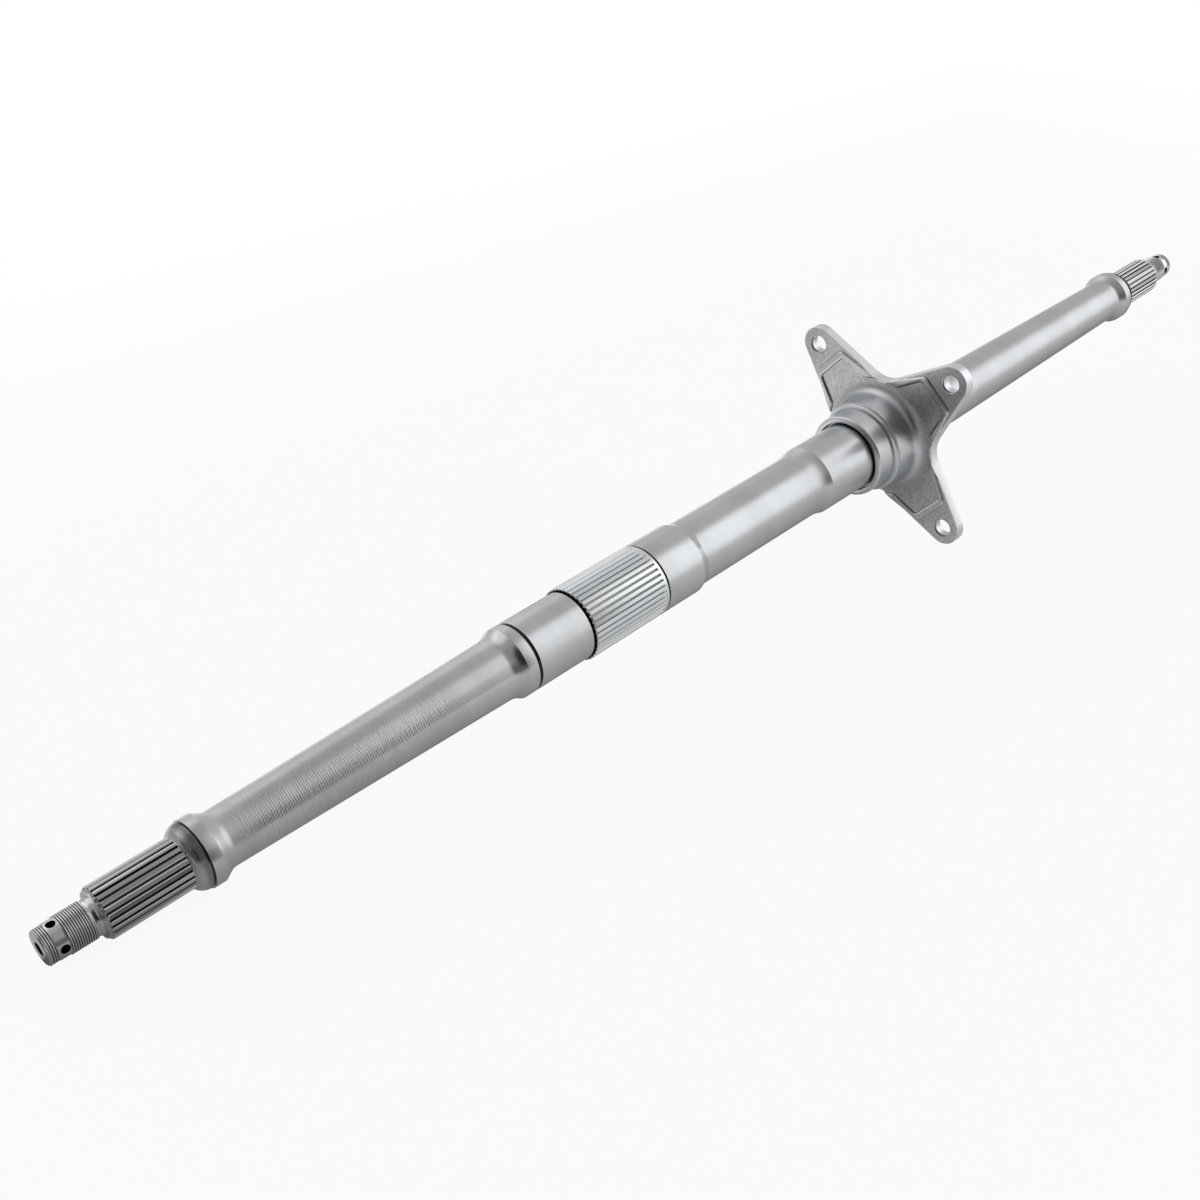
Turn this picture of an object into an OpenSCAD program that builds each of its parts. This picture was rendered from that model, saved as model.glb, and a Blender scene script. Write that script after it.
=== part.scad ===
// Rear axle shaft with a pressed-on four-arm sprocket hub.
// Millimetres. X runs along the axle from the near end to the far end, Z is up.
// The origin is on the axle's axis, in the plane of the hub's flat back face.
// Profiles are lists of [radius, distance from the near tip] pairs, turned about the axis.

/* [Axle] */
// Overall length, tip to tip
axle_len = 880; // [860:1:960]
// Near tip to the hub's flat back face
hub_back_x = 552.5; // [545:0.5:580]

/* [Wheel ends, both alike] */
// Chamfer at each tip
tip_chamfer = 0.8; // [0.3:0.1:1.2]
// Reduced thread nose, outside
nose_d = 16.3; // [15.8:0.1:16.5]
// Reduced thread nose, length
nose_len = 5; // [4:0.1:7]
// Plain band that the cotter holes cross, outside
cotter_band_d = 16.6; // [16.5:0.1:17.2]
// Plain band that the cotter holes cross, length
cotter_band_len = 4.6; // [4.5:0.1:6.5]
// Cotter holes, two across each end
cotter_d = 4.2; // [3:0.1:4.4]
// Thread, outside
thread_d = 17.6; // [17.3:0.1:18.4]
// Thread length behind the cotter band
thread_len = 11.7; // [8:0.1:16]
// Centre hole in each tip
centre_hole_d = 6; // [4:0.5:8]
// Centre hole depth, to its cone
centre_hole_depth = 10; // [5:0.5:12]
// Neck behind the thread, smallest
neck_d = 16.2; // [15.6:0.1:17]
// Land in front of the wheel spline
land_d = 21.8; // [20:0.1:21.8]
// Width of that land
land_w = 0.7; // [0.3:0.1:1.5]

/* [Wheel splines] */
// Wheel spline, outside
wheel_spline_d = 24.5; // [24.4:0.1:26]
// Wheel spline, length
wheel_spline_len = 38; // [30:1:45]
// Teeth of each wheel spline
wheel_teeth = 24; // [20:1:26]
// Depth of the grooves between the teeth
wheel_groove_depth = 1.25; // [0.8:0.05:1.25]

/* [Wheel collars] */
// Collar, outside
collar_d = 33; // [32:0.1:36]
// Width of the collar's cylinder
collar_w = 5.6; // [4:0.1:8]
// Rounded nose in front of the collar, outside
collar_nose_d = 31.6; // [30:0.1:31.8]
// Length of the rounded nose
collar_nose_len = 5.8; // [5:0.1:6]
// Groove between the nose and the collar, width
collar_groove_w = 1; // [0.6:0.1:1.6]
// Groove between the nose and the collar, depth below the nose
collar_groove_depth = 0.8; // [0.4:0.1:1.2]
// Slope of the cone behind the collar, degrees
collar_cone_a = 30; // [25:1:35]
// Fillet between that cone and the tapered shaft
collar_fillet_r = 8; // [5:0.5:9]

/* [Tapered shafts] */
// Small end of both tapers, outside
taper_small_d = 26.9; // [26:0.1:28]
// Big end of the near taper, outside
near_big_d = 32; // [29:0.1:34]
// Length of the near taper
near_taper_len = 154; // [140:1:165]
// Big end of the far taper, radius below the main journals'
far_drop = 3.2; // [2.5:0.1:5]
// Fillet from the near taper up to the left journal
shoulder_r = 14; // [10:0.5:20]

/* [Brake side journals] */
// Left journal, radius below the main journals'
left_drop = 1.35; // [1.1:0.05:1.7]
// Ring in front of the circlip groove, width
ring_w = 5.9; // [4:0.1:8]
// Circlip groove, width
circlip_w = 1.8; // [1.2:0.1:2.6]
// Circlip groove, depth
circlip_depth = 1.1; // [0.6:0.1:1.6]
// Left journal, from the circlip groove to the relief
left_len = 34.5; // [20:0.5:40]
// Relief between the left journal and the spline, width
relief_w = 1.2; // [0.8:0.1:2]
// Relief, depth below the left journal
relief_depth = 0.7; // [0.4:0.1:1]
// Brake hub spline, length
brake_spline_len = 50; // [30:1:56]
// Teeth of the brake hub spline
brake_teeth = 40; // [30:1:44]
// Depth of the grooves between its teeth
brake_groove_depth = 1; // [0.6:0.05:1.1]
// Chamfer at the front of its teeth
brake_chamfer = 0.5; // [0.2:0.1:0.8]
// Land at the spline's inner end, width
spline_land_w = 1.7; // [1:0.1:3]
// Stop groove behind that land, width
stop_groove_w = 1; // [0.6:0.1:2]
// Stop groove, depth
stop_groove_depth = 0.9; // [0.5:0.1:1.5]
// Right journal, length
right_len = 26; // [15:0.5:32]

/* [Main journals] */
// Right journal, brake spline, hub side journal and hub seat, outside
journal_d = 40; // [39:0.1:41]
// Plain shaft between the journals, radius below theirs
mid_drop = 1.75; // [1.2:0.05:3]
// Slope of the cone behind the right journal, degrees
right_cone_a = 20; // [15:1:25]
// Fillet between that cone and the plain shaft
right_fillet_r = 8; // [5:0.5:10]
// Hub side journal, in front of the hub's mouth
hub_journal_len = 36.5; // [25:0.5:45]
// Fillet from the plain shaft up to the hub side journal
hub_step_r = 18; // [10:0.5:25]
// Grinding relief in front of the hub seat, width
seat_relief_w = 1.5; // [0.8:0.1:2]
// Grinding relief in front of the hub seat, depth
seat_relief_depth = 0.3; // [0.2:0.1:0.6]
// How far the seat runs on behind the hub
back_seat_len = 3; // [2:0.5:6]
// Chamfer at that end of the seat
back_chamfer = 0.7; // [0.4:0.1:1]
// Fillet between the seat and the far taper
back_fillet_r = 2.5; // [1.5:0.1:2.5]

/* [Sprocket hub] */
// Hub length, mouth to the flat back face
hub_len = 39.7; // [36:0.1:46]
// Radial clearance of the hub on its seat
hub_fit = 0.02; // [0.01:0.01:0.05]
// Gap round the journal at the hub's mouth
mouth_gap = 1.1; // [0.6:0.1:1.4]
// Depth of that gap
mouth_depth = 5; // [4:0.5:7]
// Chamfer inside the mouth
mouth_chamfer = 0.4; // [0.2:0.1:0.5]
// Front ring, outside
ring1_d = 49; // [48:0.1:50]
// Mouth to the front face of the first step
ring1_len = 13.2; // [9:0.1:15]
// Rounded lip at the hub's mouth
lip_r = 1.8; // [1:0.1:2]
// Narrow ring between the two steps, outside
ring2_d = 51.8; // [51:0.1:52.6]
// Narrow ring between the two steps, width
ring2_w = 1.2; // [0.8:0.1:2]
// Largest fillet of the two steps
step_r = 1.3; // [0.4:0.1:1.3]
// Hub barrel behind the steps, outside
barrel_d = 54.5; // [54:0.1:56]
// Hub barrel where its fillet starts, outside
barrel_root_d = 56; // [55:0.1:57]
// Fillet between the barrel and the arms
barrel_fillet_r = 6.8; // [4:0.1:7]

/* [Arms] */
// Number of arms, each with one sprocket bolt
arms = 4; // [3:1:5]
// Bolt circle of the sprocket bolts
bolt_pcd = 132; // [126:0.5:140]
// Sprocket bolt holes
bolt_d = 10.5; // [8:0.1:12]
// Chamfer of the bolt holes
bolt_chamfer = 0.5; // [0.2:0.1:0.8]
// Round tip of each arm, radius
tip_r = 10.5; // [9.5:0.1:12]
// Each flank's angle to the arm's middle line, degrees
flank_a = 17; // [15:0.5:19]
// Round valley between two arms, radius
valley_r = 17; // [12:0.5:18]
// Thickness of the arms without their rims
arm_t = 6.3; // [5:0.1:8]
// Height of the raised rims
rim_h = 1.3; // [0.8:0.1:1.5]
// Width of the rims along the flanks
rim_w = 4; // [3:0.1:5]
// Width of the rim across each arm
cross_rim_w = 4; // [3:0.1:5]
// From the axis to the outer edge of that rim
rim_end_x = 54.6; // [52:0.1:55]
// Outer corner radius of the rims
rim_corner_r = 4; // [3:0.1:6]
// Inner corner radius of the rims
pocket_corner_r = 2.5; // [1:0.1:3]
// Turned zone round the barrel, where the rims end, radius
turned_r = 37; // [36.5:0.1:40]

/* [Hidden] */
$fn = 96;
over = 0.01;
arc_steps = 8;
drill_point_a = 59;

function arc(c, r, a0, a1) =
    [for (i = [0 : arc_steps])
        let (a = a0 + (a1 - a0) * i / arc_steps)
        [c[0] + r * cos(a), c[1] + r * sin(a)]];
function flipped(pts, len) =
    [for (i = [len(pts) - 1 : -1 : 0]) [pts[i][0], len - pts[i][1]]];

// Stations of a wheel end, from its tip
cotter_x = nose_len + cotter_band_len / 2;
neck_x = nose_len + cotter_band_len + thread_len;
neck_r = (land_d - neck_d) / 2;
land_x = neck_x + neck_r;
wheel_spline_x = land_x + land_w + (wheel_spline_d - land_d) / 2;
wheel_spline_end = wheel_spline_x + wheel_spline_len;
collar_groove_x = wheel_spline_end + collar_nose_len;
collar_x = collar_groove_x + collar_groove_w;
collar_end = collar_x + collar_w;
collar_cone_rise = (collar_d - taper_small_d) / 2
    - collar_fillet_r * (1 - cos(collar_cone_a));
end_len = collar_end + collar_cone_rise / tan(collar_cone_a)
    + collar_fillet_r * sin(collar_cone_a);
// The rounded nose is one arc that rises from the spline to the nose's diameter
nose_a = 2 * atan((collar_nose_d - wheel_spline_d) / 2 / collar_nose_len);
nose_r = collar_nose_len / sin(nose_a);
groove_d = collar_nose_d - 2 * collar_groove_depth;

wheel_end_profile = concat(
    [[0, 0],
     [nose_d / 2 - tip_chamfer, 0],
     [nose_d / 2, tip_chamfer],
     [nose_d / 2, nose_len],
     [cotter_band_d / 2, nose_len],
     [cotter_band_d / 2, nose_len + cotter_band_len],
     [thread_d / 2, nose_len + cotter_band_len],
     [thread_d / 2, neck_x]],
    arc([land_d / 2, neck_x], neck_r, 180, 90),
    [[land_d / 2, land_x + land_w],
     [wheel_spline_d / 2, wheel_spline_x],
     [wheel_spline_d / 2, wheel_spline_end]],
    arc([collar_nose_d / 2 - nose_r, collar_groove_x], nose_r, -nose_a, 0),
    [[groove_d / 2, collar_groove_x],
     [groove_d / 2, collar_x],
     [collar_d / 2, collar_x],
     [collar_d / 2, collar_end]],
    arc([taper_small_d / 2 + collar_fillet_r, end_len],
        collar_fillet_r, 180 + collar_cone_a, 180));

// Stations of the brake side, from the near tip
left_d = journal_d - 2 * left_drop;
mid_d = journal_d - 2 * mid_drop;
near_taper_end = end_len + near_taper_len;
shoulder_a = acos(1 - (left_d - near_big_d) / 2 / shoulder_r);
ring_x = near_taper_end + shoulder_r * sin(shoulder_a);
circlip_x = ring_x + ring_w;
left_x = circlip_x + circlip_w;
relief_x = left_x + left_len;
brake_spline_x = relief_x + relief_w;
brake_spline_end = brake_spline_x + brake_spline_len;
stop_groove_x = brake_spline_end + spline_land_w;
right_x = stop_groove_x + stop_groove_w;
right_end = right_x + right_len;
right_cone_rise = (journal_d - mid_d) / 2 - right_fillet_r * (1 - cos(right_cone_a));
mid_x = right_end + right_cone_rise / tan(right_cone_a)
    + right_fillet_r * sin(right_cone_a);

brake_side_profile = concat(
    arc([near_big_d / 2 + shoulder_r, near_taper_end],
        shoulder_r, 180, 180 - shoulder_a),
    [[left_d / 2, circlip_x],
     [left_d / 2 - circlip_depth, circlip_x],
     [left_d / 2 - circlip_depth, left_x],
     [left_d / 2, left_x],
     [left_d / 2, relief_x],
     [left_d / 2 - relief_depth, relief_x],
     [left_d / 2 - relief_depth, brake_spline_x],
     [journal_d / 2 - brake_chamfer, brake_spline_x],
     [journal_d / 2, brake_spline_x + brake_chamfer],
     [journal_d / 2, stop_groove_x],
     [journal_d / 2 - stop_groove_depth, stop_groove_x],
     [journal_d / 2 - stop_groove_depth, right_x],
     [journal_d / 2, right_x],
     [journal_d / 2, right_end]],
    arc([mid_d / 2 + right_fillet_r, mid_x], right_fillet_r, 180 + right_cone_a, 180));

// Stations of the hub side, worked back from the hub's back face
mouth_x = hub_back_x - hub_len;
seat_x = mouth_x + mouth_depth;
hub_journal_x = mouth_x - hub_journal_len;
hub_step_a = acos(1 - (journal_d - mid_d) / 2 / hub_step_r);
hub_step_x = hub_journal_x - hub_step_r * sin(hub_step_a);
far_big_d = journal_d - 2 * far_drop;
back_end = hub_back_x + back_seat_len;
// The fillet never rises higher than the foot of the seat's chamfer
back_fillet = min(back_fillet_r, far_drop - back_chamfer);
back_fillet_end = back_end + back_fillet;

hub_side_profile = concat(
    arc([mid_d / 2 + hub_step_r, hub_step_x], hub_step_r, 180, 180 - hub_step_a),
    [[journal_d / 2, seat_x - seat_relief_w],
     [journal_d / 2 - seat_relief_depth, seat_x - seat_relief_w],
     [journal_d / 2 - seat_relief_depth, seat_x],
     [journal_d / 2, seat_x],
     [journal_d / 2, back_end - back_chamfer],
     [journal_d / 2 - back_chamfer, back_end]],
    arc([far_big_d / 2 + back_fillet, back_fillet_end], back_fillet, 270, 180));

// Rings and barrel of the hub
mouth_r = journal_d / 2 + mouth_gap;
bore_r = journal_d / 2 + hub_fit;
step1_x = mouth_x + ring1_len;
step1_r = min(step_r, (ring2_d - ring1_d) / 2);
step2_r = min(step_r, (barrel_d - ring2_d) / 2);
step2_x = step1_x + ring2_w + step2_r;
floor_x = hub_back_x - arm_t;

// Outline of the arms. The first arm lies half a pitch from +Y.
half_pitch = 180 / arms;
bolt_r = bolt_pcd / 2;
flank_n = [sin(flank_a), cos(flank_a)];
flank_w = bolt_r * sin(flank_a) + tip_r;
valley_c = (flank_w + valley_r) / cos(90 - flank_a - half_pitch);
valley_at = [valley_c * cos(half_pitch), valley_c * sin(half_pitch)];
valley_tangent = valley_at - valley_r * flank_n;
tip_tangent = [bolt_r, 0] + tip_r * flank_n;
// The barrel's fillet stays inside the valleys
barrel_fillet = min(barrel_fillet_r, valley_c - valley_r - barrel_root_d / 2);

hub_profile = concat(
    [[bore_r, hub_back_x],
     [barrel_root_d / 2 + barrel_fillet, hub_back_x]],
    arc([barrel_root_d / 2 + barrel_fillet, floor_x - barrel_fillet],
        barrel_fillet, 90, 180),
    [[barrel_d / 2, step2_x]],
    arc([ring2_d / 2 + step2_r, step2_x - step2_r], step2_r, 90, 180),
    [[ring2_d / 2, step1_x]],
    arc([ring1_d / 2 + step1_r, step1_x - step1_r], step1_r, 90, 180),
    arc([ring1_d / 2 - lip_r, mouth_x + lip_r], lip_r, 0, -90),
    [[mouth_r + mouth_chamfer, mouth_x],
     [mouth_r, mouth_x + mouth_chamfer],
     [mouth_r, seat_x],
     [bore_r, seat_x]]);

// Turns a flat drawing in the Y-Z plane to stand at x, growing towards +X
module upright(x) {
    translate([x - hub_back_x, 0, 0]) rotate([90, 0, 90]) children();
}

module turned(profile) {
    upright(0) rotate_extrude() polygon(profile);
}

// One groove between two spline teeth, narrower at its root
module spline_groove(r, depth, teeth) {
    pitch = 360 / teeth;
    top = r * sin(pitch * 0.29);
    root = (r - depth) * sin(pitch * 0.17);
    reach = top + (top - root) * over / depth;
    polygon([[r - depth, -root], [r + over, -reach], [r + over, reach], [r - depth, root]]);
}

// All grooves of a spline. The first lies first_a degrees from +Y.
module spline_grooves(x, len, r, depth, teeth, first_a = 0) {
    for (i = [0 : teeth - 1])
        upright(x) linear_extrude(len)
            rotate(first_a + 360 * i / teeth) spline_groove(r, depth, teeth);
}

module wheel_grooves(first_a) {
    spline_grooves(land_x + land_w, wheel_spline_end - land_x - land_w,
        wheel_spline_d / 2, wheel_groove_depth, wheel_teeth, first_a);
}

// Centre hole and crossed cotter holes of one wheel end, drilled from x = 0 inwards
module end_holes() {
    upright(-over) cylinder(d = centre_hole_d, h = centre_hole_depth + over);
    upright(centre_hole_depth - over) cylinder(d1 = centre_hole_d, d2 = 0,
        h = centre_hole_d / 2 / tan(drill_point_a));
    for (a = [0, 90])
        upright(cotter_x) rotate([90, 0, a])
            cylinder(d = cotter_d, h = thread_d + 2, center = true);
}

// Places what is drawn for the near end on the far end instead
module far_end() {
    translate([axle_len - 2 * hub_back_x, 0, 0]) mirror([1, 0, 0]) children();
}

module axle_shaft() {
    color([0.72, 0.73, 0.74])
        difference() {
            turned(concat(wheel_end_profile, brake_side_profile, hub_side_profile,
                flipped(wheel_end_profile, axle_len)));
            wheel_grooves(0);
            end_holes();
            far_end() {
                wheel_grooves(180 / wheel_teeth);
                end_holes();
            }
            spline_grooves(brake_spline_x - over, brake_spline_len + over,
                journal_d / 2, brake_groove_depth, brake_teeth);
        }
}

module each_arm() {
    for (i = [0 : arms - 1])
        rotate(half_pitch + 360 * i / arms) children();
}

// Straight flanks from valley to valley, round tips and round valleys
module arms_outline() {
    turn = 360 / arms;
    star = [for (i = [0 : arms - 1])
        for (p = [[valley_tangent[0], -valley_tangent[1]],
                  [tip_tangent[0], -tip_tangent[1]],
                  tip_tangent, valley_tangent, valley_at])
            let (a = half_pitch + turn * i)
            [p[0] * cos(a) - p[1] * sin(a), p[0] * sin(a) + p[1] * cos(a)]];
    difference() {
        union() {
            polygon(star);
            each_arm() translate([bolt_r, 0]) circle(tip_r);
        }
        each_arm() translate(valley_at) circle(valley_r);
    }
}

// A tapering tongue along one arm: its flanks lie inset inside the arm's own,
// and it ends at end_x with two round corners
module tongue(inset, end_x, corner) {
    start_x = bolt_r / 4;
    corner_x = end_x - corner;
    corner_y = (flank_w - inset - corner - corner_x * flank_n[0]) / flank_n[1];
    start_y = (flank_w - inset - start_x * flank_n[0]) / flank_n[1];
    half = [[start_x, start_y],
            [corner_x, corner_y] + corner * flank_n,
            [end_x, corner_y]];
    polygon(concat(half, [for (i = [2 : -1 : 0]) [half[i][0], -half[i][1]]]));
    for (side = [-1, 1])
        translate([corner_x, side * corner_y]) circle(corner);
}

// Raised rims: along both flanks and across each arm, ended by the turned zone
module rims() {
    difference() {
        intersection() {
            arms_outline();
            each_arm() tongue(0, rim_end_x, rim_corner_r);
        }
        each_arm() tongue(rim_w, rim_end_x - cross_rim_w, pocket_corner_r);
        circle(turned_r);
    }
}

module bolt_hole() {
    through = arm_t + 2 * over;
    upright(floor_x - over) translate([bolt_r, 0]) cylinder(d = bolt_d, h = through);
    for (face = [[floor_x - over, 1], [hub_back_x + over, -1]])
        upright(face[0]) translate([bolt_r, 0]) mirror([0, 0, face[1] > 0 ? 0 : 1])
            cylinder(d1 = bolt_d + 2 * bolt_chamfer + 2 * over, d2 = bolt_d,
                h = bolt_chamfer + over);
}

module sprocket_hub() {
    color([0.62, 0.63, 0.64])
        difference() {
            union() {
                upright(floor_x) linear_extrude(arm_t) arms_outline();
                upright(floor_x - rim_h) linear_extrude(rim_h + over) rims();
                turned(hub_profile);
            }
            upright(floor_x) translate([0, 0, -over])
                cylinder(r = bore_r, h = arm_t + 2 * over);
            for (i = [0 : arms - 1])
                rotate([half_pitch + 360 * i / arms, 0, 0]) bolt_hole();
        }
}

axle_shaft();
sprocket_hub();
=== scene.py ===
"""Rear axle shaft with a pressed-on sprocket hub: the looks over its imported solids.

Lengths are worked out in millimetres and put into the meshes in metres. A profile is a
list of (radius, distance from the near tip), and the axle runs along +X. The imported
frame's origin lies HUB_BACK from the near tip, in the plane of the hub's back face.
"""
import bmesh
import bpy
import math
import numpy as np
from mathutils import Matrix, Vector


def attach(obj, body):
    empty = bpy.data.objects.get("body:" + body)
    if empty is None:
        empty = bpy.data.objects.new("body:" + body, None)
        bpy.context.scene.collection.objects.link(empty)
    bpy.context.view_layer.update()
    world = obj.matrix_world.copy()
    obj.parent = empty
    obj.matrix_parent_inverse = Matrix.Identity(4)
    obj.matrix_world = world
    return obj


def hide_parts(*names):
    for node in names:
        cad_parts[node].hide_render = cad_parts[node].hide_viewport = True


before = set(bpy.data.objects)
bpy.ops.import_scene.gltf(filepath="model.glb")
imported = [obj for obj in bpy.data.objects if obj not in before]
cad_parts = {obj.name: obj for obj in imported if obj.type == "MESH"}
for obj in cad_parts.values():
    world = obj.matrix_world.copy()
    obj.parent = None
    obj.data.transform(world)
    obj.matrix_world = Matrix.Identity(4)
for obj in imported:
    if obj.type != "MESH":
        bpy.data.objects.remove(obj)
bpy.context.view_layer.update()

MM = 0.001
AXLE_LEN = 880.0
HUB_BACK = 552.5
NO_LIMIT = 1e3  # a radius that cuts nothing


def linked(name, data):
    """A new object for that mesh or camera, linked into the scene at the origin."""
    made = bpy.data.objects.new(name, data)
    bpy.context.scene.collection.objects.link(made)
    return made


def arc(c, r, a0, a1, steps=8):
    """Points c + r (cos a, sin a), with a running from a0 to a1 degrees."""
    a = np.radians(np.linspace(a0, a1, steps + 1))
    return [(c[0] + r * math.cos(t), c[1] + r * math.sin(t)) for t in a]


def eased(profile, size=0.22, turn_from=14.0):
    """Each corner that turns by more than turn_from degrees becomes a short quadratic
    curve that starts and ends size away from it, or less on a short side."""
    pts = [np.array(profile[0], float)]
    for p in profile[1:]:
        if math.dist(p, pts[-1]) > 1e-4:
            pts.append(np.array(p, float))
    out = [tuple(pts[0])]
    for a, p, b in zip(pts, pts[1:], pts[2:]):
        u, w = a - p, b - p
        lu, lw = np.linalg.norm(u), np.linalg.norm(w)
        turn = 180 - math.degrees(math.acos(np.clip(u @ w / (lu * lw), -1, 1)))
        if turn < turn_from or min(lu, lw) < 0.05:
            out.append(tuple(p))
            continue
        d = min(size, 0.42 * lu, 0.42 * lw)
        q0, q1 = p + u / lu * d, p + w / lw * d
        for t in (0.0, 0.5, 1.0):
            out.append(tuple((1 - t) ** 2 * q0 + 2 * t * (1 - t) * p + t * t * q1))
    return out + [tuple(pts[-1])]


# Wheel end, from its tip. A name that ends in R is a radius, in X, END or LEN a distance
# from the tip, and in A an angle.
HOLE_R, HOLE_LEN, HOLE_POINT, HOLE_RIM = 3, 10, 1.8, 0.45
TIP_CHAMFER = 0.8
NOSE_R, BAND_R, THREAD_R, PITCH = 8.15, 8.3, 8.8, 1.0
NOSE_END, BAND_END, THREAD_END = 5.0, 9.6, 21.3
NOSE_DEPTH, THREAD_DEPTH, COTTER_R = 0.45, 0.58, 2.1
NECK_R, LAND_R, LAND_X, LAND_W = 2.8, 10.9, 24.1, 0.7
WHEEL_TEETH, WHEEL_BEVEL = 24, 0.38
WHEEL_R, WHEEL_ROOT, WHEEL_X, WHEEL_END = 12.25, 11.0, 26.15, 64.15
GROOVE_X, COLLAR_X, COLLAR_END = 69.95, 70.95, 76.55
NOSE_TOP_R, GROOVE_R, COLLAR_R, THIN_R, FILLET_R = 15.8, 15.0, 16.5, 13.45, 8
NOSE_A = 2 * math.atan((NOSE_TOP_R - WHEEL_R) / (GROOVE_X - WHEEL_END))
COLLAR_NOSE_R = (GROOVE_X - WHEEL_END) / math.sin(NOSE_A)
RING_FROM, RING, RING_SLOPE = 65.8, 0.5, 0.72
CONE_A = math.radians(30)
CONE_RISE = COLLAR_R - THIN_R - FILLET_R * (1 - math.cos(CONE_A))
END_LEN = COLLAR_END + CONE_RISE / math.tan(CONE_A) + FILLET_R * math.sin(CONE_A)

centre_hole = [(0, HOLE_LEN + HOLE_POINT), (HOLE_R, HOLE_LEN), (HOLE_R, HOLE_RIM),
               (HOLE_R + HOLE_RIM, 0)]
wheel_end = (
    [(NOSE_R - TIP_CHAMFER, 0), (NOSE_R, TIP_CHAMFER), (NOSE_R, NOSE_END),
     (BAND_R, NOSE_END), (BAND_R, BAND_END), (THREAD_R, BAND_END), (THREAD_R, THREAD_END)]
    + arc((LAND_R, THREAD_END), NECK_R, 180, 90, 10)
    + [(LAND_R, LAND_X + LAND_W), (WHEEL_R, WHEEL_X), (WHEEL_R, WHEEL_END)]
    + arc((NOSE_TOP_R - COLLAR_NOSE_R, GROOVE_X), COLLAR_NOSE_R, -math.degrees(NOSE_A), 0,
          12)
    + [(GROOVE_R, GROOVE_X), (GROOVE_R, COLLAR_X), (COLLAR_R, COLLAR_X),
       (COLLAR_R, COLLAR_END)]
    + arc((THIN_R + FILLET_R, END_LEN), FILLET_R, 210, 180, 6))

# Brake side
THICK_R, SHOULDER_R, LEFT_R, CIRCLIP_R, RELIEF_R = 16, 14, 18.65, 17.55, 17.95
JOURNAL_R, STOP_R, MID_R = 20, 19.1, 18.25
BRAKE_TEETH, BRAKE_ROOT, BRAKE_BEVEL, BRAKE_CHAMFER, RUNOUT = 40, 19.0, 0.12, 0.5, 1.6
TAPER_END = END_LEN + 154
SHOULDER_A = math.acos(1 - (LEFT_R - THICK_R) / SHOULDER_R)
RING_X = TAPER_END + SHOULDER_R * math.sin(SHOULDER_A)
CIRCLIP_X = RING_X + 5.9
LEFT_X = CIRCLIP_X + 1.8
RELIEF_X = LEFT_X + 34.5
BRAKE_X = RELIEF_X + 1.2
BRAKE_END = BRAKE_X + 50
STOP_X = BRAKE_END + 1.7
RIGHT_X = STOP_X + 1
RIGHT_END = RIGHT_X + 26
RIGHT_A = math.radians(20)
RIGHT_RISE = JOURNAL_R - MID_R - FILLET_R * (1 - math.cos(RIGHT_A))
MID_X = RIGHT_END + RIGHT_RISE / math.tan(RIGHT_A) + FILLET_R * math.sin(RIGHT_A)
brake_side = (
    arc((THICK_R + SHOULDER_R, TAPER_END), SHOULDER_R, 180,
        180 - math.degrees(SHOULDER_A))
    + [(LEFT_R, CIRCLIP_X), (CIRCLIP_R, CIRCLIP_X), (CIRCLIP_R, LEFT_X), (LEFT_R, LEFT_X),
       (LEFT_R, RELIEF_X), (RELIEF_R, RELIEF_X), (RELIEF_R, BRAKE_X),
       (JOURNAL_R - BRAKE_CHAMFER, BRAKE_X), (JOURNAL_R, BRAKE_X + BRAKE_CHAMFER),
       (JOURNAL_R, STOP_X), (STOP_R, STOP_X), (STOP_R, RIGHT_X), (JOURNAL_R, RIGHT_X),
       (JOURNAL_R, RIGHT_END)]
    + arc((MID_R + FILLET_R, MID_X), FILLET_R, 200, 180, 6))

# Hub side
MOUTH_X = HUB_BACK - 39.7
SEAT_X = MOUTH_X + 5
JOURNAL_X = MOUTH_X - 36.5
UNDERCUT_R, UNDERCUT_W, BACK_CHAMFER = 19.7, 1.5, 0.7
STEP_R, FAR_R, BACK_FILLET_R = 34.0, 16.8, 2.5
STEP_A = math.acos(1 - (JOURNAL_R - MID_R) / STEP_R)
BACK_END = HUB_BACK + 3
hub_side = (
    arc((MID_R + STEP_R, JOURNAL_X - STEP_R * math.sin(STEP_A)), STEP_R, 180,
        180 - math.degrees(STEP_A))
    + [(JOURNAL_R, SEAT_X - UNDERCUT_W), (UNDERCUT_R, SEAT_X - UNDERCUT_W),
       (UNDERCUT_R, SEAT_X), (JOURNAL_R, SEAT_X), (JOURNAL_R, BACK_END - BACK_CHAMFER),
       (JOURNAL_R - BACK_CHAMFER, BACK_END)]
    + arc((FAR_R + BACK_FILLET_R, BACK_END + BACK_FILLET_R), BACK_FILLET_R, 270, 180, 10))

axle_profile = eased(
    centre_hole + wheel_end + brake_side + hub_side
    + [(r, AXLE_LEN - x) for r, x in reversed(centre_hole + wheel_end)])
CENTRE_ROWS = 6  # rows at either end that run down a centre hole

# Hub barrel: bore, mouth, two rings, and the fillet at its foot. Its rim sinks into the
# arms' plate at SINK_R.
BORE_R, MOUTH_R, MOUTH_CHAMFER, SINK_R = JOURNAL_R + 0.02, 21.1, 0.4, 33.0
RING1_R, RING2_R, BARREL_R, BARREL_FOOT_R = 24.5, 25.9, 27.25, 28.0
LIP_R, COVE_R, FOOT_R = 1.8, 1.3, 6.8
STEP1_X = MOUTH_X + 13.2
STEP2_X = STEP1_X + 1.2 + COVE_R

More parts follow.
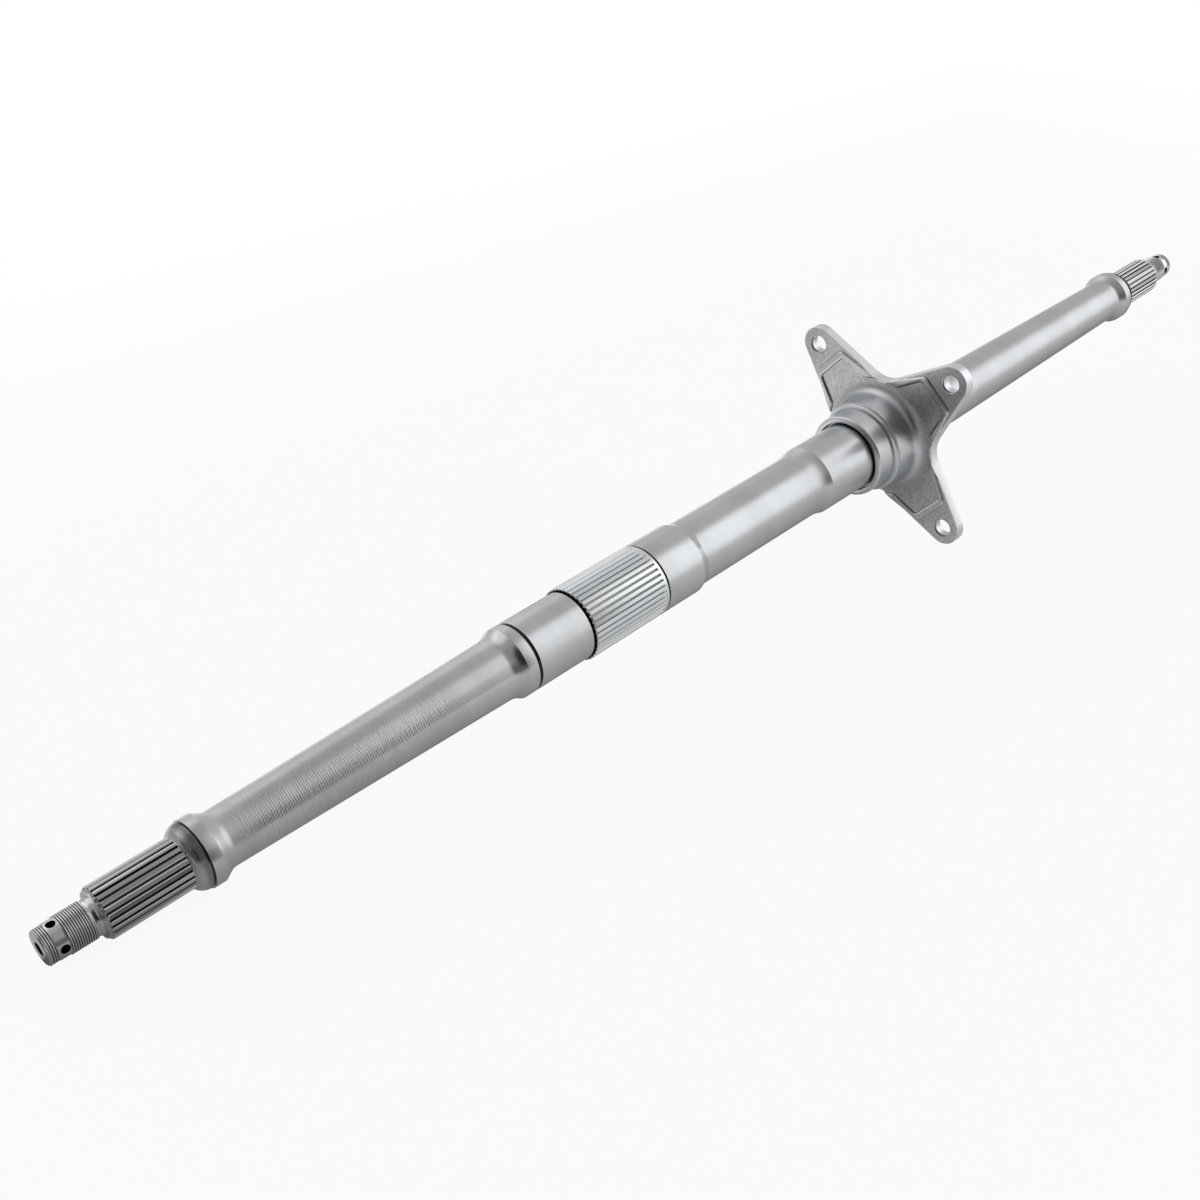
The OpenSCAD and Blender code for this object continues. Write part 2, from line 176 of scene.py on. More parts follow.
# Sprocket hub: its arms' front floor, the rims on it, and the arms' outline. An arm's own
# axes are u along it and v across it.
ARM_T = 6.3
FLOOR_X = HUB_BACK - ARM_T
RIM_H, RIM_W, RIM_END, RIM_CORNER, RIM_LEAN = 1.3, 4.0, 54.6, 4.0, 6.0
RIM_INSET, EDGE_R = 2.2, 0.4
CROSS_W, POCKET_CORNER, TURNED_R = 4.0, 2.5, 37.0
BOLT_CIRCLE, BOLT_HOLE, TIP_R, VALLEY_R = 66.0, 5.25, 10.5, 17.0
ARM_ANGLES = [math.radians(45 + 90 * k) for k in range(4)]
DIAGONAL = math.radians(45)
FLANK_A = math.radians(17)
FLANK_N = (math.sin(FLANK_A), math.cos(FLANK_A))
FLANK_W = BOLT_CIRCLE * FLANK_N[0] + TIP_R
VALLEY_C = (FLANK_W + VALLEY_R) / math.cos(DIAGONAL - FLANK_A) * math.cos(DIAGONAL)
VALLEY_U = VALLEY_C - VALLEY_R * FLANK_N[0]
BOLT_AT = BOLT_CIRCLE * math.sqrt(0.5)
VALLEY_FOOT = VALLEY_C - VALLEY_R / math.sqrt(2)
TIP_U = BOLT_CIRCLE + TIP_R * FLANK_N[0]


def mesh_piece(name, points, quads, tris, material, node, slot, sharp=12.0):
    """A closed smooth mesh from arrays of points (mm), quads and triangles, which takes
    the place of that node. Edges are sharp where two faces meet at more than the angle
    sharp, in degrees."""
    mesh = bpy.data.meshes.new(name)
    count = len(quads) + len(tris)
    corners = np.concatenate([quads.ravel(), tris.ravel()]).astype(np.int32)
    starts = np.concatenate([np.arange(len(quads)) * 4,
                             len(quads) * 4 + np.arange(len(tris)) * 3]).astype(np.int32)
    mesh.vertices.add(len(points))
    mesh.vertices.foreach_set("co", (points * MM).astype(np.float32).ravel())
    mesh.loops.add(len(corners))
    mesh.loops.foreach_set("vertex_index", corners)
    mesh.polygons.add(count)
    mesh.polygons.foreach_set("loop_start", starts)
    mesh.update(calc_edges=True)
    mesh.validate()
    mesh.polygons.foreach_set("use_smooth", np.ones(len(mesh.polygons), bool))
    piece = linked(name, mesh)
    if sharp:
        mesh.set_sharp_from_angle(angle=math.radians(sharp))
    mesh.materials.append(material)
    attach(piece, "root")
    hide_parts(node)
    return piece


def closed_turning(x, r, phi):
    """Rows x_i and columns phi_j give the point (x_i, r_ij cos phi_j, r_ij sin phi_j).
    The first and the last row close on a point of the axis."""
    rows, cols = r.shape
    y, z = r * np.cos(phi), r * np.sin(phi)
    xs = np.repeat(x[:, None], cols, 1)
    points = np.stack([xs, y, z], -1).reshape(-1, 3)
    points = np.concatenate([points, [[x[0], 0, 0], [x[-1], 0, 0]]])
    i = np.arange(rows - 1)[:, None] * cols
    j = np.arange(cols)[None, :]
    k = (j + 1) % cols
    quads = np.stack([i + j, i + k, i + cols + k, i + cols + j], -1).reshape(-1, 4)
    j, k = j.ravel(), k.ravel()
    last = (rows - 1) * cols
    caps = np.concatenate([
        np.stack([np.full(cols, rows * cols), k, j], -1),
        np.stack([np.full(cols, rows * cols + 1), last + j, last + k], -1)])
    points[:, 0] -= HUB_BACK
    return points, quads[:, ::-1], caps[:, ::-1]


def profile_rows(x0, x1, extra=()):
    """Rows of the axle's profile from x0 to x1, with more rows at the stations in extra.
    No station is looked for in the first and last CENTRE_ROWS rows: they run down the
    centre holes."""
    pts = np.array(axle_profile)
    outside = np.arange(len(pts)) >= CENTRE_ROWS - 1
    first = 0 if x0 <= 0 else int(np.argmax((pts[:, 1] > x0) & outside))
    last = len(pts) if x1 >= AXLE_LEN else int(np.argmax((pts[:, 1] > x1) & outside))
    rows = list(pts[first:last])

    def at(x):
        body = pts[CENTRE_ROWS:-CENTRE_ROWS]
        i = int(np.argmax(body[:, 1] > x))
        a, b = body[i - 1], body[i]
        t = (x - a[1]) / (b[1] - a[1])
        return a * (1 - t) + b * t

    if x0 > 0:
        rows.insert(0, at(x0))
    if x1 < AXLE_LEN:
        rows.append(at(x1))
    skipped = CENTRE_ROWS if x0 <= 0 else 0
    for x in sorted(extra):
        k = next(i for i, p in enumerate(rows) if i > skipped and p[1] > x)
        rows.insert(k, at(x))
    rows = np.array(rows)
    return rows[:, 1], rows[:, 0]


def axle_piece(name, x0, x1, phi, material, cut=None, extra=(), **options):
    """The profile between x0 and x1, turned. cut(x, phi) is the largest radius left by
    grooves or thread, and the surface is the smaller of the two."""
    x, r = profile_rows(x0, x1, extra)
    r = np.repeat(r[:, None], len(phi), 1)
    if cut is not None:
        r = np.minimum(r, cut(x[:, None], phi[None, :]))
    return mesh_piece(name, *closed_turning(x, r, phi), material, "axle_shaft",
                      "axle_steel", **options)


# Half a groove and half a tooth, as shares of the pitch from the groove's middle
WIDE_GROOVE = np.array([0, .07, .125, .18, .30, .39, .5])
FINE_GROOVE = np.array([0, .05, .10, .20, .24, .37, .5])


def tooth_columns(teeth, first, shape):
    """Column angles with twelve columns on each pitch, on the edges of its groove."""
    pitch = 2 * math.pi / teeth
    around = np.concatenate([-shape[:0:-1], shape[:-1]])
    return (first + pitch * (np.arange(teeth)[:, None] + around[None, :])).ravel()


def tooth_grooves(teeth, first, shape, top, root, bevel, x0, x1, runout=0.0):
    """The largest radius left by a spline's grooves between x0 and x1: the root radius in
    the middle of a groove, straight flanks, and a small bevel on each tooth's edges. The
    groove gets shallower over its last runout."""
    pitch = 2 * math.pi / teeth

    def limit(x, phi):
        u = np.abs(((phi - first) / pitch + 0.5) % 1 - 0.5)
        r = np.interp(u, [0, shape[2], shape[3], shape[4], .5],
                      [root, root + 0.02, top - bevel, top + 0.001, top + 1])
        if runout:
            left = np.clip((x1 - x) / runout, 0, 1)
            r = top - (top - r) * np.sin(left * math.pi / 2)
        return np.where((x >= x0) & (x <= x1), r, NO_LIMIT)
    return limit


def nose_rings(x):
    """Turned rings on a collar's nose: between two stations RING apart the radius rises
    with the slope RING_SLOPE to the profile's own, and it drops back beyond each."""
    s = np.minimum(x, AXLE_LEN - x)
    k = np.ceil((s - RING_FROM) / RING - 1e-6)
    end = RING_FROM + RING * k
    a = np.arcsin(np.clip((GROOVE_X - end) / COLLAR_NOSE_R, 0, 1))
    r = NOSE_TOP_R - COLLAR_NOSE_R * (1 - np.cos(a)) - RING_SLOPE * (end - s)
    return np.where((s > RING_FROM) & (s < GROOVE_X - 0.1), r, NO_LIMIT)


def thread_turns(x, phi, mirrored):
    """The largest radius left by the thread: with w = (1 - cos(2 pi x / pitch + phi)) / 2
    the depth is w^2 of the full depth, on the nose and again behind the cotter band. It
    fades out at the ends of both stretches."""
    s = AXLE_LEN - x if mirrored else x
    wave = (0.5 - 0.5 * np.cos(2 * math.pi * (s / PITCH + phi / (2 * math.pi)))) ** 2
    nose = np.clip((s - 0.9) / 0.3, 0, 1) * np.clip((NOSE_END - 0.1 - s) / 0.2, 0, 1)
    body = np.clip((s - BAND_END - 0.1) / 0.3, 0, 1) * np.clip((THREAD_END - s) / 0.5, 0, 1)
    on_nose = (s >= TIP_CHAMFER + 0.05) & (s <= NOSE_END)
    r = np.where(on_nose, NOSE_R - NOSE_DEPTH * wave * nose, NO_LIMIT)
    return np.where(s > BAND_END, THREAD_R - THREAD_DEPTH * wave * body, r)


DRILL_SIDES, DRILL_TURN = 64, 0.013


def drilled(piece, holes):
    """Takes round or conical drillings out of a piece. Each is (start, end, radius at the
    start, radius at the end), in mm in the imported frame. The cutter's corners are turned
    a little, so that none falls on a corner of the piece."""
    for k, (a, b, ra, rb) in enumerate(holes):
        a, b = np.array(a, float), np.array(b, float)
        w = (b - a) / np.linalg.norm(b - a)
        u = np.cross(w, [0.3, 0.5, 0.81] if abs(w[0]) > 0.9 else [1, 0, 0])
        u /= np.linalg.norm(u)
        v = np.cross(w, u)
        t = np.linspace(0, 2 * math.pi, DRILL_SIDES + 1)[:-1] + DRILL_TURN
        ring = np.cos(t)[:, None] * u + np.sin(t)[:, None] * v
        pts = np.concatenate([a + ra * ring, b + rb * ring]) * MM
        n = len(t)
        faces = [[i, (i + 1) % n, n + (i + 1) % n, n + i] for i in range(n)]
        faces += [list(range(n))[::-1], list(range(n, 2 * n))]
        cutter_mesh = bpy.data.meshes.new("cutter")
        cutter_mesh.from_pydata(pts.tolist(), [], faces)
        cutter_mesh.update()
        cutter = linked("cutter", cutter_mesh)
        mod = piece.modifiers.new(f"drill{k}", "BOOLEAN")
        mod.operation, mod.solver, mod.object = "DIFFERENCE", "EXACT", cutter
        bpy.context.view_layer.update()
        done = bpy.data.meshes.new_from_object(
            piece.evaluated_get(bpy.context.evaluated_depsgraph_get()))
        piece.modifiers.clear()
        old, piece.data = piece.data, done
        bpy.data.meshes.remove(old)
        bpy.data.objects.remove(cutter)
        bpy.data.meshes.remove(cutter_mesh)
    piece.data.name = piece.name


def crisp(piece, angle, keep_soft=None):
    """Marks the edges that turn by more than angle degrees as sharp, except where
    keep_soft(x, r) is true at their middle."""
    mesh = piece.data
    mesh.polygons.foreach_set("use_smooth", np.ones(len(mesh.polygons), bool))
    mesh.set_sharp_from_angle(angle=math.radians(angle))
    if keep_soft is None:
        return
    co = np.zeros(len(mesh.vertices) * 3, np.float32)
    mesh.vertices.foreach_get("co", co)
    co = co.reshape(-1, 3) / MM
    ends = np.zeros(len(mesh.edges) * 2, np.int32)
    mesh.edges.foreach_get("vertices", ends)
    middle = co[ends.reshape(-1, 2)].mean(1)
    flags = np.zeros(len(mesh.edges), bool)
    attribute = mesh.attributes["sharp_edge"]
    attribute.data.foreach_get("value", flags)
    flags &= ~keep_soft(middle[:, 0] + HUB_BACK, np.hypot(middle[:, 1], middle[:, 2]))
    attribute.data.foreach_set("value", flags)


class Sock:
    """A node's output socket. An expression on it adds the Math nodes that it needs."""

    def __init__(self, tree, out):
        self.tree, self.out = tree, out

    def _math(self, op, a, b=None):
        args = [a] if b is None else [a, b]
        return self.tree.node("ShaderNodeMath", {"operation": op}, args)

    def __add__(self, o): return self._math("ADD", self, o)
    def __radd__(self, o): return self._math("ADD", o, self)
    def __sub__(self, o): return self._math("SUBTRACT", self, o)
    def __rsub__(self, o): return self._math("SUBTRACT", o, self)
    def __mul__(self, o): return self._math("MULTIPLY", self, o)
    def __rmul__(self, o): return self._math("MULTIPLY", o, self)
    def __truediv__(self, o): return self._math("DIVIDE", self, o)
    def sin(self): return self._math("SINE", self)
    def root(self): return self._math("SQRT", self)
    def size(self): return self._math("ABSOLUTE", self)
    def raised(self, o): return self._math("MAXIMUM", self, o)
    def lowered(self, o): return self._math("MINIMUM", self, o)

    def step(self, lo, hi):
        """0 below lo, 1 above hi, and a smooth rise between them."""
        return self.tree.node("ShaderNodeMapRange", {"interpolation_type": "SMOOTHSTEP"},
                              {"Value": self, "From Min": lo, "From Max": hi})

    def fall(self, lo, hi):
        """1 below lo, 0 above hi, and a smooth fall between them."""
        return 1.0 - self.step(lo, hi)

    def between(self, a, b, c, d):
        """Rises from 0 at a to 1 at b, and falls from 1 at c to 0 at d."""
        return self.step(a, b) * self.fall(c, d)


def length(a, b):
    """The length of a vector with these two parts."""
    return (a * a + b * b).root()


class Finish:
    """A material, or another node tree, whose nodes are made by node()."""

    def __init__(self, name, tree=None):
        self.material = None
        if tree is None:
            self.material = bpy.data.materials.new(name)
            self.material.use_nodes = True
            tree = self.material.node_tree
        tree.nodes.clear()
        self.nodes, self.links = tree.nodes, tree.links

    def node(self, kind, settings=None, inputs=None, out=0):
        """Adds a node of that type: its settings first, then values or links by socket."""
        n = self.nodes.new(kind)
        for key, value in (settings or {}).items():
            setattr(n, key, value)
        items = inputs.items() if isinstance(inputs, dict) else enumerate(inputs or [])
        for key, value in items:
            if isinstance(value, Sock):
                self.links.new(value.out, n.inputs[key])
            else:
                n.inputs[key].default_value = value
        return Sock(self, n.outputs[out]) if len(n.outputs) else None

    def mix(self, factor, a, b):
        """Colour a where factor is 0, colour b where it is 1."""
        return self.node("ShaderNodeMix", {"data_type": "RGBA"}, {0: factor, 6: a, 7: b}, 2)

    def painted(self, tone, *layers):
        """The colour tone under layers of (mask, brightness), the last one on top."""
        for mask, v in layers:
            tone = self.mix(mask, tone, grey(v))
        return tone

    def place(self):
        """Object coordinates, and in millimetres x along the axis, y and z across it and r
        the distance from it."""
        co = self.node("ShaderNodeTexCoord", out=3)
        x, y, z = (part * (1 / MM) for part in self.parts(co))
        return co, x, y, z, length(y, z)

    def parts(self, vector):
        """The X, Y and Z of a vector."""
        split = self.node("ShaderNodeSeparateXYZ", None, [vector]).out.node
        return [Sock(self, split.outputs[k]) for k in range(3)]

    def rays(self, *kinds):
        """1 for a ray of that kind, such as Camera, and 0 for any other."""
        path = self.node("ShaderNodeLightPath").out.node
        return [Sock(self, path.outputs[f"Is {kind} Ray"]) for kind in kinds]

    def noise(self, co, scale, rough=0.5, stretch=None):
        """Noise from 0 to 1; scale is in waves per metre, and stretch scales the axes."""
        if stretch:
            co = self.node("ShaderNodeMapping", None, {"Vector": co, "Scale": stretch})
        return self.node("ShaderNodeTexNoise", {"noise_dimensions": "3D"},
                         {"Vector": co, "Scale": scale, "Detail": 2.0, "Roughness": rough})

    def ripple(self, co, y, z):
        """Waves from 0 to 1 that follow each other round the axis, with a wobble."""
        wobble = self.noise(co, 260.0)
        turn = self.node("ShaderNodeMath", {"operation": "ARCTAN2"}, [z, y])
        return (turn * 170.0 + wobble * 9.0).sin() * 0.5 + 0.5

    def steel(self, colour, rough, height, depth):
        """Ends the material in a Principled steel with a bump of that depth in mm."""
        bump = self.node("ShaderNodeBump", None, {
            "Height": height, "Distance": depth * MM, "Strength": 1.0})
        shader = self.node("ShaderNodeBsdfPrincipled", None, {
            "Base Color": colour, "Roughness": rough, "Metallic": 1.0, "Normal": bump})
        self.node("ShaderNodeOutputMaterial", None, [shader])
        return self.material


def grey(v):
    """A near-neutral, slightly cold steel colour of that brightness."""
    return (v * 0.975, v, v * 1.025, 1)


# The stations between which marks of the near side end, and the pitch of its turning marks
BEHIND_HUB, MARK_PITCH = (560.0, 600.0), 1.2


def turned_steel():
    """Ground and turned bar: fine marks run round it, and shade is painted dark into the
    narrow grooves and onto the shaft inside the hub's mouth.
    On the near taper's thin part the turning tool left broken rings MARK_PITCH apart. The
    flare behind the near collar and the shaft from station 440 on are more matt."""
    f = Finish("turned_steel")
    co, x, y, z, r = f.place()
    along = x + HUB_BACK
    lines = f.noise(co, 1400.0, 0.6, (1, 0.02, 0.02))
    broad = f.noise(co, 60.0, 0.5, (1, 0.25, 0.25))
    strokes = f.noise(co, 900.0, 0.6, (1, 0.35, 0.35)).step(0.3, 0.7)
    wave = (along * (2 * math.pi / MARK_PITCH) + broad * 5.0).sin() * 0.5 + 0.5
    marks = wave * strokes
    near = along.between(84.0, 92.0, 170.0, 236.0)
    flare = along.between(76.6, 79.0, 90.0, 100.0)
    # Painted shade: darker in the narrow turned grooves and on the shaft inside the hub's
    # mouth.
    groove = along.between(SEAT_X - 5.2, SEAT_X - 4.4, SEAT_X, SEAT_X + 0.2) * 0.8
    for start, end, soft, low, high in (
            (-1.0, COLLAR_X, 0.1, GROOVE_R + 0.1, NOSE_TOP_R + 0.1),
            (CIRCLIP_X, LEFT_X, 0.1, CIRCLIP_R + 0.15, LEFT_R - 0.25),
            (STOP_X + 0.05, RIGHT_X, 0.05, STOP_R + 0.1, JOURNAL_R - 0.1),
            (RELIEF_X, BRAKE_X + 0.05, 0.05, RELIEF_R + 0.05, LEFT_R - 0.05)):
        groove = groove + r.fall(low, high) * along.between(
            start - soft, start + soft, end - soft, end + soft)
    shade = f.mix(broad.step(0.3, 0.7), grey(0.68), grey(0.74))
    tone = f.painted(shade, (near * marks * 0.45, 0.4), (groove, 0.06))
    matt = along.step(440.0, 470.0) * 0.06 + flare * 0.14
    return f.steel(tone, 0.2 + lines * 0.06 + near * 0.02 + matt,
                   lines * 0.35 + near * marks * 1.5, 0.02)


def spline_steel(name, top, deep, land, flank, bottom_shade, rough):
    """Cut teeth: tops of the brightness land and flanks of the brightness flank, which are
    painted light and shade on one steel, and painted shade on the groove bottoms inside the
    radius deep, with fine marks along them. The collars have turned marks instead, with
    painted shade towards their groove, and the narrow turned grooves are painted dark as
    shade."""
    f = Finish(name)
    co, x, y, z, r = f.place()
    along = x + HUB_BACK
    s = along.lowered(AXLE_LEN - along)
    lines = f.noise(co, 1800.0, 0.6, (0.05, 1, 1))
    rings = f.noise(co, 1500.0, 0.6, (1, 0.02, 0.02))
    nose = r.step(top + 0.3, top + 0.5)
    behind = along.between(BRAKE_END - RUNOUT - 0.1, BRAKE_END - RUNOUT + 0.4, *BEHIND_HUB)
    teeth = s.step(WHEEL_X - 0.3, WHEEL_X) * (1.0 - behind)
    slot = along.between(RELIEF_X, RELIEF_X + 0.1, BRAKE_X, BRAKE_X + 0.15) \
        + along.between(STOP_X - 0.05, STOP_X + 0.05, *BEHIND_HUB)
    # Painted light: the teeth's tops and flanks are one steel, given two brightnesses for
    # how light falls on them.
    tone = f.mix(r.fall(top - 0.06, top - 0.02) * teeth, grey(land), grey(flank))
    # Painted shade: dark groove bottoms, the collar's nose darker towards its groove, and
    # dark narrow turned grooves.
    tone = f.painted(tone,
                     (r.fall(deep - 0.25, deep + 0.1) * teeth, bottom_shade),
                     (s.fall(WHEEL_X - 0.3, WHEEL_X).raised(nose), 0.7),
                     (nose * s.step(RING_FROM + 0.5, GROOVE_X - 0.95), 0.4),
                     (slot * r.fall(top - 0.8, top - 0.1), 0.03))
    return f.steel(tone, rough, lines * (1.0 - nose) + rings * nose, 0.012)


def thread_steel():
    """Rolled thread, neck and tip: bright crests, with shade painted dark into the thread's
    roots and inside the drilled holes."""
    f = Finish("thread_steel")
    co, x, y, z, r = f.place()
    along = x + HUB_BACK
    s = along.lowered(AXLE_LEN - along)
    speck = f.noise(co, 500.0, 0.6)
    rings = f.noise(co, 1500.0, 0.6, (1, 0.02, 0.02))
    # Painted shade in the thread's roots.
    root = s.between(TIP_CHAMFER, TIP_CHAMFER + 0.2, NOSE_END - 0.1, NOSE_END) \
        * r.fall(NOSE_R - 0.4, NOSE_R - 0.1) \
        + s.between(BAND_END + 0.1, BAND_END + 0.3, THREAD_END - 0.3, THREAD_END) \
        * r.fall(THREAD_R - 0.5, THREAD_R - 0.15)
    # Painted shade inside the centre hole and the cotter holes.
    centre = r.fall(HOLE_R + 0.3, HOLE_R + 0.5)
    inside = (r.fall(7.2, 7.6) * s.step(0.2, 0.5)).raised(centre)
    tone = f.painted(f.mix(speck, grey(0.84), grey(0.92)), (root, 0.05), (inside, 0.05))
    return f.steel(tone, 0.15 + root * 0.15, rings, 0.006)


def hub_ring_steel():
    """Hub barrel and rings, turned bright, with a line of painted shade in the cove in
    front of the first step and ripple marks at the foot of the barrel."""
    f = Finish("hub_ring_steel")
    co, x, y, z, r = f.place()
    lines = f.noise(co, 1200.0, 0.6, (1, 0.05, 0.05))
    ripple = f.ripple(co, y, z)
    foot = r.step(28.6, 32.5)
    # Painted shade in the cove in front of the first step.
    line = (x + HUB_BACK).between(STEP1_X - 1.4, STEP1_X - 0.8, STEP1_X - 0.2, STEP1_X)
    tone = f.painted(f.mix(foot, grey(0.84), grey(0.74)),
                     (line * 0.6, 0.2), (ripple * foot * 0.6, 0.3))
    return f.steel(tone, 0.38 + foot * 0.04, lines * 0.06 + ripple * foot, 0.12)


def hub_arm_steel():
    """Forged arms: satin rims and pads, grainy pocket floors and ripple marks near the
    barrel.
    Painted light and shade: highlights along the rims' top edges and each flank's front
    edge, shade at the rims' feet, a dark line on each flank's side just behind its front
    edge, side walls and bolt holes' walls painted bright, and shade in the holes' front
    mouths. x is 0 on the arms' back, -6.3 on their front floor and -7.6 on the rims' tops."""
    f = Finish("hub_arm_steel")
    co, x, y, z, r = f.place()
    grain = f.noise(co, 700.0, 0.7)
    cloud = f.noise(co, 120.0)
    ripple = f.ripple(co, y, z)
    foot = r.fall(36.0, 44.0)
    floor = x.step(-7.3, -6.6)
    # Painted highlight along the rims' top edges and painted shade at their feet.
    rim_top_highlight = x.between(-7.58, -7.5, -7.25, -7.1)
    rim_foot_shade = x.between(-7.0, -6.8, -6.42, -6.34)
    height = grain * (0.05 + floor * 0.35) + ripple * foot * 0.3

    u = (y.size() + z.size()) * math.sqrt(0.5)
    v = (y.size() - z.size()).size() * math.sqrt(0.5)
    edge = FLANK_W - (u * FLANK_N[0] + v * FLANK_N[1])
    straight = u.between(39.0, 42.0, 68.0, 71.0)
    # Painted highlight along each flank's front edge, and a painted dark line on its side
    # just behind that edge.
    flank_edge_highlight = edge.between(0.1, 0.25, 0.55, 0.8) * straight * x.fall(-6.0, -5.6)
    scale = edge.fall(0.12, 0.2) * straight * x.between(-6.4, -6.1, -5.6, -5.3)
    from_bolt = length(y.size() - BOLT_AT, z.size() - BOLT_AT)
    # Painted light: the bolt holes' walls are painted bright, with painted shade in their
    # front mouths.
    hole = from_bolt.fall(BOLT_HOLE + 0.02, BOLT_HOLE + 0.2)
    mouth = hole * x.fall(-5.4, -4.9)
    tip = from_bolt.step(TIP_R - 0.2, TIP_R - 0.05) * u.step(TIP_U - 0.5, TIP_U)
    valley = length(u - VALLEY_C, v - VALLEY_C).fall(VALLEY_R + 0.05, VALLEY_R + 0.2)
    # Painted light: the side walls round the outline, tips and valleys are painted near
    # white.
    wall = edge.fall(0.05, 0.2).raised(tip).raised(valley)

    tone = f.painted(f.mix(cloud, grey(0.76), grey(0.84)),
                     (rim_top_highlight, 0.98), (rim_foot_shade * 0.85, 0.12),
                     (grain.step(0.4, 0.62) * (0.08 + floor * 0.5), 0.46),
                     (ripple * foot * 0.6, 0.3), (wall, 0.97), (flank_edge_highlight, 0.95),
                     (scale * (1.0 - wall), 0.12), (hole, 0.92), (mouth, 0.08))
    return f.steel(tone, 0.27 + grain * 0.06 + floor * 0.06, height, 0.3)


steel_turned = turned_steel()
steel_wheel = spline_steel("wheel_spline_steel", WHEEL_R, WHEEL_R - 0.45, land=0.62,
                           flank=1.0, bottom_shade=0.07, rough=0.16)
steel_brake = spline_steel("brake_spline_steel", JOURNAL_R, JOURNAL_R - 0.75, land=0.98,
                           flank=0.85, bottom_shade=0.35, rough=0.24)
steel_thread = thread_steel()
steel_ring = hub_ring_steel()
steel_arm = hub_arm_steel()

# Columns round plain and fine turnings, and the stations where the shaft's pieces meet
ROUND = np.linspace(0, 2 * math.pi, 193)[:-1]
FINE = np.linspace(0, 2 * math.pi, 241)[:-1]
CUT_NECK, CUT_GROOVE = LAND_X + LAND_W / 2, (GROOVE_X + COLLAR_X) / 2
CUT_RELIEF, CUT_STOP = (RELIEF_X + BRAKE_X) / 2, (STOP_X + RIGHT_X) / 2


def thread_rows(mirrored):
    """Stations every tenth of a pitch along both stretches of thread."""
    s = np.concatenate([np.arange(0.95, NOSE_END - 0.15, PITCH / 10),
                        np.arange(BAND_END + 0.28, THREAD_END - 0.28, PITCH / 10)])
    return AXLE_LEN - s if mirrored else s


def threaded_end(name, mirrored):
    """The tip with its thread, neck, centre hole and two crossed cotter holes."""
    x0, x1 = (AXLE_LEN - CUT_NECK, AXLE_LEN) if mirrored else (0, CUT_NECK)
    piece = axle_piece(name, x0, x1, FINE, steel_thread,
                       cut=lambda x, phi: thread_turns(x, phi, mirrored),
                       extra=thread_rows(mirrored), sharp=None)
    s = (NOSE_END + BAND_END) / 2
    x = (AXLE_LEN - s if mirrored else s) - HUB_BACK
    reach = 12
    drilled(piece, [((x, -reach, 0), (x, reach, 0), COTTER_R, COTTER_R),
                    ((x, 0, -reach), (x, 0, reach), COTTER_R, COTTER_R)])

    def in_thread(station, r):
        d = AXLE_LEN - station if mirrored else station
        nose = (d > 0.9) & (d < NOSE_END - 0.1)
        body = (d > BAND_END + 0.25) & (d < THREAD_END - 0.05)
        return (nose | body) & (r > 7.55)

    crisp(piece, 12, in_thread)


def wheel_spline(name, mirrored):
    """The wheel spline between the neck and the collar's groove, with the grooves' end as
    a steep step 0.03 long, and the rings on the collar's nose."""
    first = math.pi / WHEEL_TEETH if mirrored else 0.0
    a, b = LAND_X + LAND_W - 0.1, WHEEL_END - 0.3
    x0, x1 = CUT_NECK, CUT_GROOVE
    rings = np.arange(RING_FROM, GROOVE_X - 0.05, RING)
    rows = np.concatenate([[b, b + 0.03], rings[1:], rings + 0.04])
    if mirrored:
        a, b, x0, x1, rows = (AXLE_LEN - v for v in (b, a, x1, x0, rows))
    teeth = tooth_grooves(WHEEL_TEETH, first, WIDE_GROOVE, WHEEL_R, WHEEL_ROOT,
                          WHEEL_BEVEL, a, b)
    axle_piece(name, x0, x1, tooth_columns(WHEEL_TEETH, first, WIDE_GROOVE), steel_wheel,
               extra=rows, cut=lambda x, phi: np.minimum(teeth(x, phi), nose_rings(x)))


threaded_end("near_thread", False)
wheel_spline("near_wheel_spline", False)
axle_piece("near_taper", CUT_GROOVE, CUT_RELIEF, ROUND, steel_turned)
axle_piece("brake_spline", CUT_RELIEF, CUT_STOP,
           tooth_columns(BRAKE_TEETH, 0.0, FINE_GROOVE), steel_brake,
           extra=[BRAKE_END - RUNOUT * k / 5 for k in range(6)],
           cut=tooth_grooves(BRAKE_TEETH, 0.0, FINE_GROOVE, JOURNAL_R, BRAKE_ROOT,
                             BRAKE_BEVEL, BRAKE_X - 0.2, BRAKE_END, RUNOUT))
axle_piece("main_shaft", CUT_STOP, AXLE_LEN - CUT_GROOVE, ROUND, steel_turned)
wheel_spline("far_wheel_spline", True)
threaded_end("far_thread", True)


def ring_turning(profile, phi):
    """A closed loop of (radius, station) pairs, turned."""
    p = np.array(profile)
    r, x = p[:, 0][:, None], p[:, 1][:, None]
    points = np.stack([x + 0 * phi, r * np.cos(phi), r * np.sin(phi)], -1).reshape(-1, 3)
    rows, cols = len(p), len(phi)
    i, j = np.arange(rows)[:, None], np.arange(cols)[None, :]
    i2, j2 = (i + 1) % rows, (j + 1) % cols
    quads = np.stack([i * cols + j, i2 * cols + j, i2 * cols + j2, i * cols + j2], -1)
    points[:, 0] -= HUB_BACK
    return points, quads.reshape(-1, 4)


